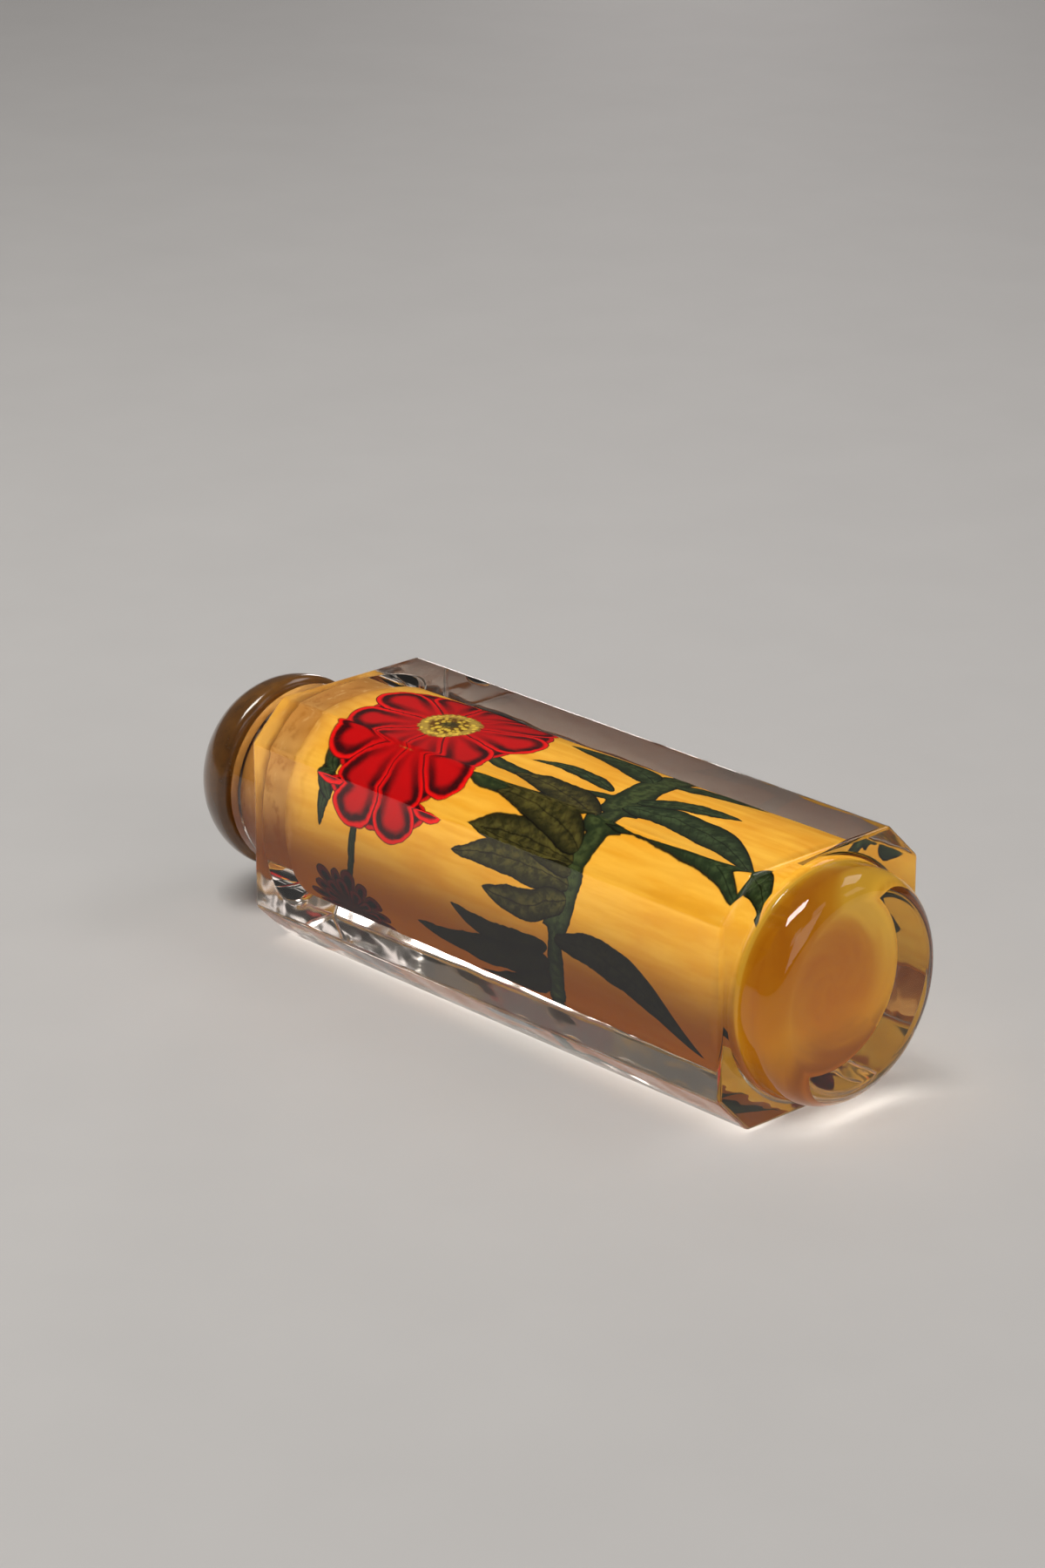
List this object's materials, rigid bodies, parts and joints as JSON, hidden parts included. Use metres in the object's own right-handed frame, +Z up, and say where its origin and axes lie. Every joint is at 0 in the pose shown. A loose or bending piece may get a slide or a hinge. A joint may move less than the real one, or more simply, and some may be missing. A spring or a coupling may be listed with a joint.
{
  "type": "snuff bottle",
  "caption": "Clear crystal snuff bottle with cut corners, round foot and neck, a picture painted inside and a domed lift-out stopper, lying on one flat side.",
  "frame": {"origin": "on the surface the bottle lies on, under the middle of its whole length", "axes": "+X along the bottle from the stopper to the foot, +Y across it, +Z up"},
  "size_m": [0.088, 0.026, 0.0254],
  "materials": {
    "crystal": "clear polished crystal; its inner wall is painted yellow ochre with red blooms and green leaves",
    "smoky_stone": "polished smoky olive-brown stone"
  },
  "bodies": {
    "root": {"bottle": "crystal", "stopper": "smoky_stone"}
  },
  "joints": []
}
